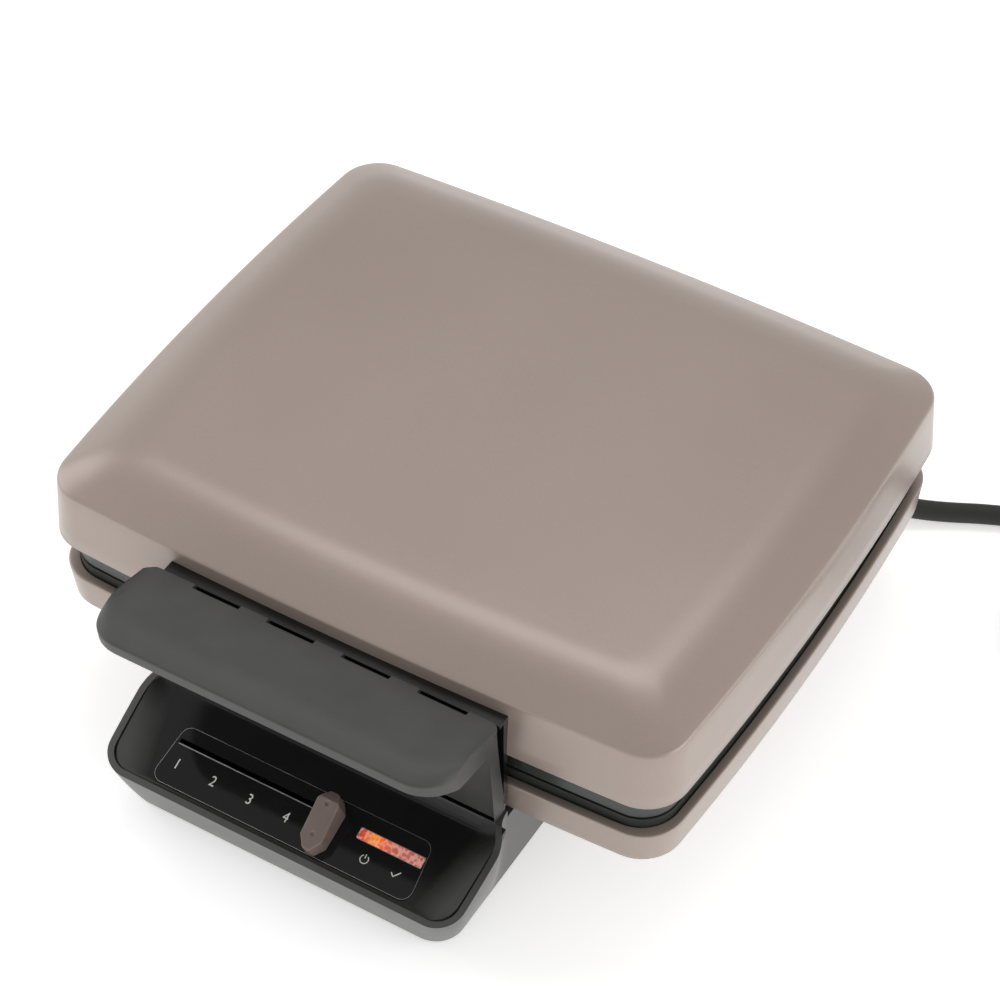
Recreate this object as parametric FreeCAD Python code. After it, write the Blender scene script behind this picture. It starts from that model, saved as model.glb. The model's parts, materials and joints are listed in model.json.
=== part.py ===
import FreeCAD, Part
import math
import os

# Countertop waffle maker, millimetres, +Z up, front (handle side) towards -Y.
# The origin is on the surface it stands on, under the middle of the object.

V = FreeCAD.Vector
os.makedirs("parts", exist_ok=True)

# ---- driving dimensions -------------------------------------------------
half_length = 138.0        # console front and hinge rear, from the origin
body_y = 17.5              # centre of the rectangular body
body_half_x = 130.0        # lid crease, at the middle of each side
body_half_y = 109.0
side_bow = 4.3             # how far the long curves of the outline stand out
front_bow = 3.3
body_corner = 16.0
sheet = 1.2                # lacquered sheet of the lid and the lower shell

foot_height = 2.7
shell_bottom = 34.5
shell_rim = 50.0
parting = 54.6             # plane where the two halves of the mould meet
lid_bottom = 67.0
lid_crease = 92.0
crown_steps = ((0.0, 0.0), (8.0, 3.5), (16.0, 6.4), (24.0, 8.5), (33.0, 9.6))
lid_flare = 1.3            # the lid's wall stands out by this much at its lower edge
lip_width = 3.4            # turned-in lip of the lower shell

frame_inset = 3.8          # inner frames, from the lid crease outline
frame_gap = 0.6            # each frame stops this far from the parting plane
plate_half_x = 116.4
plate_half_y = 95.4
plate_corner = 12.0
plate_wall = 3.4
plate_floor = 2.5
plate_depth = 12.1         # parting plane to the back of a plate
rim_gap = 1.2              # plate rim to the parting plane
peg_gap = 2.5              # peg tips to the parting plane
peg_columns = 4
peg_rows = 6
peg_taper = 1.8
divider = 3.0              # half of the ridge between the two wells
well_half = (plate_half_x - plate_wall - divider) / 2
well_half_y = plate_half_y - plate_wall
well_floor = parting - plate_depth + plate_floor
element_r = 2.75

hinge_y = 132.0
hinge_z = 52.0
hinge_x = 56.0
ear_r = 6.0
knuckle_r = 5.0
hinge_pin_r = 2.5
running_gap = 0.05
knuckle_width = 11.4
ear_gap = 0.3
ear_width = 2.5

base_rear = 95.0
base_chamfer = 22.0
base_half_low = 68.0
base_front_low = -131.5
rim_half = 73.2
rim_z = 21.3
rim_slope = 0.41
flare_from = -92.0         # the side walls flare between these two places
flare_to = -110.0
console_corner = 10.5
wall = 2.5
split_z = 37.9             # line between the console and the handle
split_gap = 1.2
web_front_low = -98.4
upstand_rear = -92.3

floor_front_y = -135.4     # console floor, a slope that rises to the rear
floor_front_z = 21.0
floor_slope = 0.38
slot_y = -118.0
floor_fillet = 8.0
skin = 2.2

position_pitch = 15.3      # between the marks of the heat slider
slider_x = 13.8            # slider at its highest mark
slider_travel = 4 * position_pitch
slot_width = 2.0
slot_left = slider_x - slider_travel - 3.5
slot_right = slider_x + 3.5
knob_gap = 0.35            # between the knob and the panel it slides over

panel_half_rear = 51.5     # the panel is measured along the floor, from the slot's middle line
panel_half_front = 53.8
panel_rear = 6.1
panel_front = -16.6
panel_sunk = 1.4
panel_thick = 1.5
window_x = 38.5
window_half_x = 13.0
window_front = -3.6
window_rear = 0.4
window_ledge = 0.9         # the console's skin carries the lens by this much all round
spindle_x = slider_x - slider_travel / 2
spindle_y = -56.0
carriage_z = 19.0

grip_shift = -1.9          # the grip stands this far left of the bracket's middle
grip_half = 71.1
web_half = 70.0
web_rear = -93.8
grip_front = -137.6
grip_tip_z = 96.2
grip_tilt = 0.21
grip_edge = 7.0
slot_pitch = 30.5          # of the four openings along the wing's rear edge
slot_middle = 3.2          # from the middle of the grip
bracket_half = 68.2
bracket_top = 86.4
grip_corner = 14.0

outlet_z = 11.0
outlet_shift = 2.7         # from the middle of the chamfered corner
protector_length = 38.0
cord_r = 4.0

floor_angle = math.degrees(math.atan(floor_slope))
slot_z = floor_front_z + floor_slope * (slot_y - floor_front_y)


# ---- small helpers ------------------------------------------------------
def box(x0, x1, y0, y1, z0, z1):
    return Part.makeBox(x1 - x0, y1 - y0, z1 - z0, V(x0, y0, z0))


def rod(radius, start, end):
    """A solid cylinder from start to end."""
    axis = end - start
    return Part.makeCylinder(radius, axis.Length, start, axis)


def join(shapes):
    """One solid out of shapes that touch or overlap."""
    first, rest = shapes[0], shapes[1:]
    return first.fuse(rest).removeSplitter() if rest else first


def side_profile(points, x0, x1):
    """A (y, z) polygon drawn in the side view, extruded from x0 to x1."""
    ring = [V(x0, y, z) for y, z in points]
    face = Part.Face(Part.makePolygon(ring + [ring[0]]))
    return face.extrude(V(x1 - x0, 0, 0))


def rounded_slab(half_x, y0, y1, z0, z1, corner, centre_x=0.0):
    """A flat block with four rounded upright edges."""
    block = box(centre_x - half_x, centre_x + half_x, y0, y1, z0, z1)
    upright = [e for e in block.Edges if abs(e.Vertexes[0].Z - e.Vertexes[-1].Z) > 0.01]
    return block.makeFillet(corner, upright)


def near(shape, x=None, y=None, z=None, reach=0.05):
    """The edges whose middle lies at the given coordinates."""
    found = []
    for edge in shape.Edges:
        middle = edge.CenterOfMass
        pairs = ((middle.x, x), (middle.y, y), (middle.z, z))
        if all(want is None or abs(got - want) < reach for got, want in pairs):
            found.append(edge)
    return found


def outline(inset, z):
    """The body's plan at a height: four long bows with rounded corners."""
    half_x = body_half_x - inset
    half_y = body_half_y - inset
    corner_x = half_x - side_bow
    corner_y = half_y - front_bow
    tips = [V(-corner_x, -corner_y, z), V(corner_x, -corner_y, z)]
    tips += [V(corner_x, corner_y, z), V(-corner_x, corner_y, z)]
    bows = [V(0, -half_y, z), V(half_x, 0, z), V(0, half_y, z), V(-half_x, 0, z)]
    edges = [Part.Arc(tips[i], bows[i], tips[(i + 1) % 4]).toShape() for i in range(4)]
    prism = Part.Face(Part.Wire(edges)).extrude(V(0, 0, 1))
    upright = [e for e in prism.Edges if abs(e.Vertexes[0].Z - e.Vertexes[-1].Z) > 0.5]
    prism = prism.makeFillet(max(body_corner - 0.5 * inset, 5.0), upright)
    lowest = min(prism.Faces, key=lambda f: f.CenterOfMass.z)
    wire = lowest.OuterWire
    wire.translate(V(0, body_y, 0))
    return wire


def slab_of(inset, z0, z1):
    """A straight-walled slice of the body's plan."""
    return Part.Face(outline(inset, z0)).extrude(V(0, 0, z1 - z0))


def plate_slab(grow, z0, z1):
    """A slice of the plate's plan, grown or shrunk all round."""
    half_y = plate_half_y + grow
    return rounded_slab(plate_half_x + grow, body_y - half_y, body_y + half_y, z0, z1,
                        plate_corner + grow)


def mirror_up(shape):
    """The matching piece of the other half, mirrored in the parting plane."""
    return shape.mirror(V(0, 0, parting), V(0, 0, 1))


def on_floor(shape):
    """Moves a shape drawn flat about the slider's slot onto the sloping console floor."""
    shape.rotate(V(0, 0, 0), V(1, 0, 0), floor_angle)
    shape.translate(V(0, slot_y, slot_z))
    return shape


# ---- lid ----------------------------------------------------------------
def lid_form(inset):
    """The lid as a full block: a wall that flares downwards and a crowned top."""
    low = outline(inset - lid_flare, lid_bottom)
    crease = outline(inset, lid_crease - inset)
    walls = Part.makeLoft([low, crease], True, True)
    crown = [outline(inset + step, lid_crease - inset + rise) for step, rise in crown_steps]
    return walls.fuse(Part.makeLoft(crown, True, False))


lid_block = lid_form(0.0)


def lid_cover():
    return lid_block.cut(lid_form(sheet))


def upper_frame():
    """The lid's inner frame: a visible band under the lid, with a flange inside it."""
    band = slab_of(frame_inset, parting + frame_gap, lid_bottom + 3.0)
    flange = slab_of(0.6, lid_bottom + 0.6, lid_bottom + 3.0)
    opening = plate_slab(0.3, parting - 5.0, lid_bottom + 10.0)
    return join([band, flange]).cut(opening)


def lower_frame():
    """The lower inner frame, standing up through the lower shell's lip."""
    band = slab_of(frame_inset, shell_rim - 5.0, parting - frame_gap)
    flange = slab_of(2.0, shell_rim - 5.0, shell_rim - sheet - 0.2)
    opening = plate_slab(0.3, shell_rim - 10.0, parting + 5.0)
    return join([band, flange]).cut(opening)


def grid_plate():
    """The lower cast plate: a shallow tray with a well for each of two waffles."""
    tray = plate_slab(0.0, parting - plate_depth, parting - rim_gap)
    for side in (-1, 1):
        well = rounded_slab(well_half, body_y - well_half_y, body_y + well_half_y,
                            well_floor, parting, 8.0, side * (divider + well_half))
        tray = tray.cut(well)
    return tray


def grid_pegs():
    """The tapered pegs on the plate's floor, each of which presses a pocket into a waffle."""
    pitch_x = 2 * well_half / peg_columns
    pitch_y = 2 * well_half_y / peg_rows
    pegs = []
    for side in (-1, 1):
        for column in range(peg_columns):
            for row in range(peg_rows):
                x = side * (divider + well_half) + (column - (peg_columns - 1) / 2) * pitch_x
                y = body_y + (row - (peg_rows - 1) / 2) * pitch_y
                pegs.append(frustum(x, y, well_floor, parting - peg_gap, pitch_x * 0.32,
                                    pitch_y * 0.34, peg_taper))
    return Part.makeCompound(pegs)


def frustum(x, y, z0, z1, half_x, half_y, taper):
    """A four-sided block that narrows upwards."""
    rings = []
    for z, cut in ((z0, 0.0), (z1, taper)):
        dx, dy = half_x - cut, half_y - cut
        ring = [V(x - dx, y - dy, z), V(x + dx, y - dy, z), V(x + dx, y + dy, z), V(x - dx, y + dy, z)]
        rings.append(Part.makePolygon(ring + [ring[0]]))
    return Part.makeLoft(rings, True, True)


def heating_element():
    """Tubular heater bent into a loop behind the lower plate, with its two cold ends."""
    z = parting - plate_depth - element_r - 0.1
    half_x, half_y, bend = 82.0, 62.0, 26.0
    gap = 14.0
    rear = body_y + half_y
    front = body_y - half_y
    corners = [(half_x - bend, rear), (half_x, rear - bend), (half_x, front + bend)]
    corners += [(half_x - bend, front)]
    s = math.sqrt(0.5)
    right = [Part.LineSegment(V(gap, rear, z), V(half_x - bend, rear, z)).toShape()]
    mid = V(half_x - bend + bend * s, rear - bend + bend * s, z)
    right.append(Part.Arc(V(half_x - bend, rear, z), mid, V(half_x, rear - bend, z)).toShape())
    right.append(Part.LineSegment(V(half_x, rear - bend, z), V(half_x, front + bend, z)).toShape())
    mid = V(half_x - bend + bend * s, front + bend - bend * s, z)
    right.append(Part.Arc(V(half_x, front + bend, z), mid, V(half_x - bend, front, z)).toShape())
    right.append(Part.LineSegment(V(half_x - bend, front, z), V(0, front, z)).toShape())
    path = Part.Wire(right)
    circle = Part.Wire(Part.makeCircle(element_r, V(gap, rear, z), V(1, 0, 0)))
    half = path.makePipeShell([circle], True, False)
    return half.fuse(half.mirror(V(0, 0, 0), V(1, 0, 0))).removeSplitter()


clip_places = [(side * 82.0, body_y + y) for side in (-1, 1) for y in (-30.0, 30.0)]


def reflector():
    """Thin bright tray behind the heater."""
    top = parting - plate_depth - 2 * element_r - 0.4
    tray = plate_slab(-8.0, top - 0.6, top)
    for x, y in clip_places:
        tray = tray.cut(box(x - 9.2, x + 9.2, y - 5.2, y + 5.2, top - 1.0, top + 1.0))
    return tray


def element_clips():
    """Four straps that hold the heater against the plate."""
    straps = []
    back = parting - plate_depth
    for x, y in clip_places:
        strap = box(x - 9.0, x + 9.0, y - 5.0, y + 5.0, back - 2 * element_r - 0.9, back - 0.05)
        channel = box(x - element_r - 0.1, x + element_r + 0.1, y - 6.0, y + 6.0,
                      back - 2 * element_r - 0.3, back)
        straps.append(strap.cut(channel))
    return Part.makeCompound(straps)


def fuse_capsule(x):
    """A small thermal cut-out clamped behind the plate."""
    z = parting - plate_depth - 2.6
    return rod(2.2, V(x - 8.0, body_y - 10.0, z), V(x + 8.0, body_y - 10.0, z))


# ---- handle -------------------------------------------------------------
def handle_grip():
    """One moulding: an upright web in front of the body and a wing that rises forwards."""
    low = split_z + split_gap
    step_z = 84.8
    top_rear = (-96.4, grip_tip_z - grip_tilt * (-96.4 - grip_front))
    tip_top = (grip_front, grip_tip_z)
    tip_low = (grip_front + 0.6, grip_tip_z - grip_edge)
    root = (-103.2, grip_tip_z - grip_edge - grip_tilt * (-103.2 - grip_front) - 1.0)
    points = [(web_rear, low), (web_front_low, low), root, tip_low, tip_top, top_rear,
              (top_rear[0], step_z), (web_rear, step_z)]
    blank = side_profile(points, -grip_half, grip_half)
    blank = blank.makeFillet(10.0, near(blank, x=0.0, y=root[0], z=root[1]))
    wing_low = 73.0
    plan = rounded_slab(grip_half, grip_front - 1.0, -60.0, wing_low, 110.0, grip_corner)
    web = box(-web_half, web_half, -115.0, -60.0, low - 1.0, wing_low)
    grip = blank.common(plan).fuse(blank.common(web)).removeSplitter()
    tip = near(grip, x=0.0, y=tip_top[0], z=tip_top[1], reach=0.1)
    grip = grip.makeFillet(2.2, tip)
    for i in range(4):
        x = slot_middle + (i - 1.5) * slot_pitch
        grip = grip.cut(box(x - 9.6, x + 9.6, -97.8, -90.0, 80.0, 100.0))
    grip.translate(V(grip_shift, 0, 0))
    return grip


def handle_bracket():
    """Plate between the lid's front wall and the grip, with a top flange behind the wing."""
    plate = box(-bracket_half, bracket_half, web_rear, -85.0, split_z + 3.0, bracket_top)
    flange = box(-bracket_half, bracket_half, -96.3, -85.0, bracket_top - 1.4, bracket_top)
    body_front = slab_of(-0.9, shell_bottom, lid_bottom)
    return plate.fuse(flange).cut(lid_block).cut(body_front).removeSplitter()


def handle_screws():
    """Four screws from inside the lid's front wall into the bracket."""
    screws = []
    for x in (-48.0, -16.0, 16.0, 48.0):
        shank = rod(1.5, V(x, -88.5, 78.0), V(x, -93.0, 78.0))
        head = rod(3.0, V(x, -86.8, 78.0), V(x, -88.8, 78.0))
        screws.append(shank.fuse(head))
    return Part.makeCompound(screws)


# ---- hinge --------------------------------------------------------------
def hinge_arm(side):
    """Steel arm on the lid's rear wall that ends in a knuckle round the hinge pin."""
    x = side * hinge_x
    half = knuckle_width / 2
    blade = box(x - half, x + half, 124.0, hinge_y - 1.0, hinge_z + 4.0, 86.0)
    foot = box(x - half, x + half, 128.6, hinge_y + 2.5, hinge_z, hinge_z + 10.0)
    knuckle = rod(knuckle_r, V(x - half, hinge_y, hinge_z), V(x + half, hinge_y, hinge_z))
    body_rear = slab_of(-1.6, 40.0, lid_bottom)
    arm = blade.cut(lid_block).cut(body_rear).fuse([foot.cut(body_rear), knuckle])
    bore = rod(hinge_pin_r + running_gap, V(x - 10.0, hinge_y, hinge_z), V(x + 10.0, hinge_y, hinge_z))
    return arm.cut(bore).removeSplitter()


def hinge_bracket(side):
    """Base bracket: a plate on the lower shell's rear wall with two ears for the pin."""
    x = side * hinge_x
    inner = knuckle_width / 2 + ear_gap
    ears = []
    for a, b in ((-inner - ear_width, -inner), (inner, inner + ear_width)):
        round_end = rod(ear_r, V(x + a, hinge_y, hinge_z), V(x + b, hinge_y, hinge_z))
        leg = box(x + a, x + b, 120.0, hinge_y + 2.0, 36.0, hinge_z - 2.0)
        ears.append(round_end.fuse(leg))
    half = inner + ear_width
    plate = box(x - half, x + half, 120.0, hinge_y - 2.2, 36.0, hinge_z - 6.5)
    bore = rod(hinge_pin_r, V(x - 20.0, hinge_y, hinge_z), V(x + 20.0, hinge_y, hinge_z))
    return join([plate] + ears).cut(lower_block).cut(bore)


def hinge_pin(side):
    x = side * hinge_x
    half = knuckle_width / 2 + ear_gap + ear_width
    pin = rod(hinge_pin_r, V(x - half, hinge_y, hinge_z), V(x + half + 1.0, hinge_y, hinge_z))
    head = rod(hinge_pin_r + 1.3, V(x - half - 1.4, hinge_y, hinge_z), V(x - half, hinge_y, hinge_z))
    return pin.fuse(head)


def arm_screws():
    """Two screws through each hinge arm into the lid's rear wall."""
    screws = []
    for side in (-1, 1):
        for z in (74.0, 82.0):
            x = side * hinge_x
            head = rod(2.6, V(x, hinge_y - 1.0, z), V(x, hinge_y + 0.8, z))
            shank = rod(1.4, V(x, 122.5, z), V(x, hinge_y - 1.0, z))
            screws.append(head.fuse(shank))
    return Part.makeCompound(screws)


# ---- lower shell --------------------------------------------------------
def lower_form(inset, floor_z, top_z):
    """The lower shell as a full block, with a small bevel round its foot."""
    bevel = 1.6
    low = outline(inset + 1.2 + bevel, floor_z)
    foot = outline(inset + 1.2, floor_z + bevel)
    top = outline(inset + 0.1, top_z)
    return Part.makeLoft([low, foot], True, True).fuse(Part.makeLoft([foot, top], True, True))


lower_block = lower_form(0.0, shell_bottom, shell_rim)


def lower_shell():
    """Open tray with a turned-in lip and a hole for the wires and the thermostat."""
    hollow = lower_form(sheet, shell_bottom + sheet, shell_rim - sheet)
    mouth = slab_of(lip_width, shell_rim - 2 * sheet, shell_rim + 1.0)
    hole = box(-40.0, 40.0, -62.0, -10.0, shell_bottom - 1.0, shell_bottom + 2.0)
    return lower_block.cut(hollow).cut(mouth).cut(hole)


# ---- base and console ---------------------------------------------------
def base_plan(half_rear, half_front, front, z, inset):
    """The base's plan: chamfered rear corners, sides that flare to the console, round front."""
    rear = base_rear - inset
    a = half_rear - inset
    f = front + inset
    cut = base_chamfer - 0.6 * inset
    r = console_corner - inset
    k = r * (1.0 - math.sqrt(0.5))
    middle = (flare_from + flare_to) / 2
    b = half_front - inset
    edges = [Part.LineSegment(V(b - r, f, z), V(r - b, f, z)).toShape()]
    edges.append(Part.LineSegment(V(cut - a, rear, z), V(a - cut, rear, z)).toShape())
    for side in (-1, 1):
        p = side * a
        q = side * b
        edges.append(Part.LineSegment(V(p - side * cut, rear, z), V(p, rear - cut, z)).toShape())
        edges.append(Part.LineSegment(V(p, rear - cut, z), V(p, flare_from, z)).toShape())
        curve = Part.BezierCurve()
        curve.setPoles([V(p, flare_from, z), V(p, middle, z), V(q, middle, z), V(q, flare_to, z)])
        edges.append(curve.toShape())
        edges.append(Part.LineSegment(V(q, flare_to, z), V(q, f + r, z)).toShape())
        corner = Part.Arc(V(q, f + r, z), V(q - side * k, f + k, z), V(q - side * r, f, z))
        edges.append(corner.toShape())
    return Part.Wire(Part.__sortEdges__(edges))


def base_form(inset):
    """The base and console as a full block that flares upwards."""
    rings = [base_plan(base_half_low, base_half_low, base_front_low, foot_height, inset)]
    rings.append(base_plan(base_half_low + 0.5, rim_half, -half_length, rim_z, inset))
    rings.append(base_plan(base_half_low + 0.9, rim_half + 1.6, -half_length - 4.5, 40.0, inset))
    return Part.makeLoft(rings, True, False)


def under_rim():
    """Side view of everything below the console's rim and the deck under the body."""
    knee_y = -106.5
    knee_z = rim_z + rim_slope * (knee_y + half_length)
    far = -150.0
    points = [(far, rim_z + rim_slope * (far + half_length)), (knee_y, knee_z),
              (-101.5, split_z - 0.9), (-99.5, split_z), (upstand_rear, split_z),
              (upstand_rear, shell_bottom), (base_rear + 5.0, shell_bottom),
              (base_rear + 5.0, -5.0), (far, -5.0)]
    return side_profile(points, -90.0, 90.0)


base_block = base_form(0.0)
base_hollow = base_form(wall)


def floor_line(drop):
    """Side view of the console floor and its rear wall, lowered by drop."""
    lean = math.atan(floor_slope)
    turn = math.pi / 2 - lean
    r = floor_fillet + drop
    wall_y = web_front_low + drop
    foot_y = -145.0
    offset = drop / math.cos(lean)
    line_at = lambda y: floor_front_z + floor_slope * (y - floor_front_y) - offset
    corner_z = line_at(wall_y)
    reach = r * math.tan(turn / 2)
    centre = (wall_y - r, corner_z + reach)
    steps = 8
    arc = [(centre[0] + r * math.sin(lean + turn * i / steps),
            centre[1] - r * math.cos(lean + turn * i / steps)) for i in range(steps + 1)]
    return [(foot_y, line_at(foot_y))] + arc


def console_fascia():
    """The console's inner skin: sloping floor, curved rear wall and a pocket for the panel."""
    top = floor_line(0.0)
    low = floor_line(skin)
    band = side_profile(top + [(low[-1][0], top[-1][1])] + low[::-1], -80.0, 80.0)
    skin_shape = band.common(base_hollow)
    above = box(-90.0, 90.0, -150.0, -80.0, split_z, 80.0)
    pocket = on_floor(panel_form(0.25, 6.0))
    slot = on_floor(slot_cut(slot_width + 2.0, 1.0))
    window = on_floor(window_cut(-window_ledge))
    return skin_shape.cut(above).cut(pocket).cut(slot).cut(window)


def slot_cut(width, grow):
    """The slider's slot, drawn flat about its own middle line."""
    return box(slot_left - grow, slot_right + grow, -width / 2, width / 2, -8.0, 8.0)


def window_cut(grow):
    """The opening of the indicator window, drawn flat."""
    return box(window_x - window_half_x - grow, window_x + window_half_x + grow,
               window_front - grow, window_rear + grow, -5.0, 5.0)


def panel_form(grow, height):
    """The panel's plan, wider at the front, with rounded corners."""
    front_x = panel_half_front + grow
    rear_x = panel_half_rear + grow
    y0 = panel_front - grow
    y1 = panel_rear + grow
    ring = [V(-front_x, y0, -panel_sunk), V(front_x, y0, -panel_sunk),
            V(rear_x, y1, -panel_sunk), V(-rear_x, y1, -panel_sunk)]
    block = Part.Face(Part.makePolygon(ring + [ring[0]])).extrude(V(0, 0, height))
    upright = [e for e in block.Edges if abs(e.Vertexes[0].Z - e.Vertexes[-1].Z) > 0.5]
    return block.makeFillet(4.0 + grow, upright)


def control_panel():
    """Glossy insert with the slider's slot and the opening of the indicator window."""
    plate = panel_form(0.0, panel_thick)
    return on_floor(plate.cut(slot_cut(slot_width, 0.0)).cut(window_cut(0.2)))


def indicator_window():
    """Clear lens with ribs on its underside."""
    lens = box(window_x - window_half_x, window_x + window_half_x, window_front, window_rear,
               -panel_sunk, 0.1)
    ribs = []
    for i in range(10):
        x = window_x - 10.8 + 2.4 * i
        ribs.append(box(x - 0.5, x + 0.5, window_front + 1.2, window_rear - 1.2, -2.6, -panel_sunk))
    return on_floor(join([lens] + ribs))


def base_housing():
    """Black moulding under the body: console sides and rim, deck, and cord outlet."""
    deck_hollow = base_hollow.cut(box(-90.0, 90.0, -95.8, base_rear + 5.0, shell_bottom - skin, 60.0))
    outer = base_block.common(under_rim())
    shell = outer.cut(deck_hollow)
    front_only = box(-90.0, 90.0, -150.0, -95.8, floor_front_z, 60.0)
    shell = shell.cut(base_hollow.common(front_only))
    wires = box(-40.0, 40.0, -62.0, -10.0, shell_bottom - 5.0, shell_bottom + 1.0)
    start, along = outlet()
    bore = rod(5.2, start - along * 8.0, start + along * 4.0)
    return shell.cut(wires).cut(bore)


def outlet():
    """Where the cord leaves the chamfered rear corner, and its direction."""
    half = base_half_low + 0.2
    along = V(math.sqrt(0.5), math.sqrt(0.5), 0)
    start = V(half - base_chamfer / 2 - outlet_shift, base_rear - base_chamfer / 2 + outlet_shift,
              outlet_z)
    return start, along


def base_plate():
    """Bottom cover inside the housing's lower edge."""
    plan = base_plan(base_half_low, base_half_low, base_front_low, foot_height, wall + 0.6)
    return Part.Face(plan).extrude(V(0, 0, 2.0))


foot_places = [(-52.0, -112.0), (52.0, -112.0), (-44.0, 66.0), (44.0, 66.0)]


def feet():
    """Four rubber feet."""
    pads = []
    for x, y in foot_places:
        pad = Part.makeCylinder(8.0, foot_height, V(x, y, 0))
        pads.append(pad.makeFillet(0.8, near(pad, z=0.0)))
    return Part.makeCompound(pads)


def base_screws():
    """Four screws of the bottom cover, flush with it."""
    screws = []
    for x, y in ((-54.0, -80.0), (54.0, -80.0), (-54.0, 40.0), (54.0, 40.0)):
        head = Part.makeCylinder(3.0, 1.2, V(x, y, foot_height - 0.6))
        shank = Part.makeCylinder(1.5, 9.0, V(x, y, foot_height + 0.6))
        screws.append(head.fuse(shank))
    return Part.makeCompound(screws)


def screw_posts():
    """Posts in the base that the bottom cover's screws go into."""
    posts = []
    for x, y in ((-54.0, -80.0), (54.0, -80.0), (-54.0, 40.0), (54.0, 40.0)):
        post = Part.makeCylinder(4.0, shell_bottom - skin - foot_height - 2.0,
                                 V(x, y, foot_height + 2.0))
        posts.append(post.cut(Part.makeCylinder(1.5, 9.0, V(x, y, foot_height + 0.6))))
    return Part.makeCompound(posts)


# ---- heat control -------------------------------------------------------
pin_reach = slot_y - spindle_y
rest_angle = math.degrees(math.atan2(slider_travel / 2, -pin_reach))


def slider_knob():
    """Long six-sided knob, higher at its rear end, with small dimples near both ends."""
    half_w, rear_v, front_v = 4.4, 5.4, -16.2
    shoulder = 4.0
    plan = [V(-half_w, rear_v - shoulder, 0), V(-1.6, rear_v, 0), V(1.6, rear_v, 0),
            V(half_w, rear_v - shoulder, 0), V(half_w, front_v + shoulder, 0),
            V(1.6, front_v, 0), V(-1.6, front_v, 0), V(-half_w, front_v + shoulder, 0)]
    block = Part.Face(Part.makePolygon(plan + [plan[0]])).extrude(V(0, 0, 14.0))
    upright = [e for e in block.Edges if abs(e.Vertexes[0].Z - e.Vertexes[-1].Z) > 1.0]
    block = block.makeFillet(0.9, upright)
    rise = side_profile([(front_v - 1.0, 6.4), (rear_v - 3.4, 10.6), (rear_v + 1.0, 8.2),
                         (rear_v + 1.0, knob_gap), (front_v - 1.0, knob_gap)], -8.0, 8.0)
    knob = block.common(rise)
    rim = [e for e in knob.Edges if e.BoundBox.ZMin > 5.0 and abs(e.BoundBox.XMax) > 1.0
           and e.BoundBox.YLength > 8.0]
    knob = knob.makeFillet(0.6, rim)
    for v, w in ((front_v + 5.5, 8.9), (rear_v - 4.9, 11.3)):
        knob = knob.cut(Part.makeSphere(1.5, V(0, v, w)))
    knob.translate(V(slider_x, 0, 0))
    return on_floor(knob)


def slider_carriage():
    """Block on the rail, with the blade up through the slot and the pin for the lever."""
    x = slider_x
    block = box(x - 7.0, x + 7.0, slot_y - 4.0, slot_y + 4.0, carriage_z - 3.2, carriage_z + 3.0)
    blade = on_floor(box(x - 2.5, x + 2.5, -0.5, 0.5, -6.0, knob_gap))
    pin = Part.makeCylinder(2.0, 6.0, V(x, slot_y, carriage_z - 9.0))
    bore = rod(1.5 + running_gap, V(x - 9.0, slot_y, carriage_z), V(x + 9.0, slot_y, carriage_z))
    return join([block, blade, pin]).cut(bore)


def slider_rail():
    """Round rail under the console floor, in two end blocks."""
    left = slot_left - 8.0
    right = slot_right + 8.0
    rail = rod(1.5, V(left, slot_y, carriage_z), V(right, slot_y, carriage_z))
    ends = []
    for x in (left, right):
        top = slot_z - skin - 1.9
        ends.append(box(x - 1.5, x + 1.5, slot_y - 4.0, slot_y + 4.0, carriage_z - 3.0, top))
    return join([rail] + ends)


def thermostat():
    """Thermostat under the deck, with a bore for its spindle."""
    x, y = spindle_x, spindle_y
    body = box(x - 14.0, x + 14.0, y - 10.0, y + 24.0, 17.0, shell_bottom - skin - 0.2)
    tabs = box(x - 10.0, x + 10.0, y + 24.0, y + 31.0, 22.0, 23.0)
    return body.fuse(tabs).cut(rod(2.0 + running_gap, V(x, y, 16.0), V(x, y, 25.0)))


def thermostat_lever():
    """Lever on the thermostat's spindle, with a fork round the carriage's pin."""
    x, y = spindle_x, spindle_y
    z0, z1 = carriage_z - 7.5, carriage_z - 5.0
    reach = -pin_reach
    hub = Part.makeCylinder(5.0, z1 - z0 + 1.0, V(x, y, z0))
    spindle = Part.makeCylinder(2.0, 24.0 - z1, V(x, y, z1))
    arm = box(x - 5.5, x + 5.5, y - reach - 9.0, y, z0, z1)
    fork = box(x - 3.2, x + 3.2, y - reach - 12.0, y - reach + 6.0, z0 - 1.0, z1 + 1.0)
    lever = join([hub, spindle, arm.cut(fork)])
    lever.rotate(V(x, y, 0), V(0, 0, 1), rest_angle)
    return lever


# ---- electrics ----------------------------------------------------------
def lamp_board():
    """Small board under the window with two lamps' sockets."""
    return box(28.0, 50.5, slot_y - 6.0, slot_y + 4.0, 15.0, 16.6)


def lamp(x):
    """One indicator lamp, a short dome standing on the board."""
    stem = Part.makeCylinder(2.0, 3.4, V(x, slot_y - 1.5, 16.6))
    dome = Part.makeSphere(2.0, V(x, slot_y - 1.5, 20.0))
    return stem.fuse(dome).removeSplitter()


def terminal_block():
    """Three-way screw terminal where the cord ends."""
    block = box(8.0, 40.0, 20.0, 36.0, foot_height + 2.0, 18.0)
    for i in range(3):
        x = 14.0 + 10.0 * i
        block = block.cut(Part.makeCylinder(2.2, 6.0, V(x, 28.0, 13.0)))
        block = block.cut(rod(1.8, V(x, 15.0, 9.0), V(x, 40.0, 9.0)))
    return block


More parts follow.
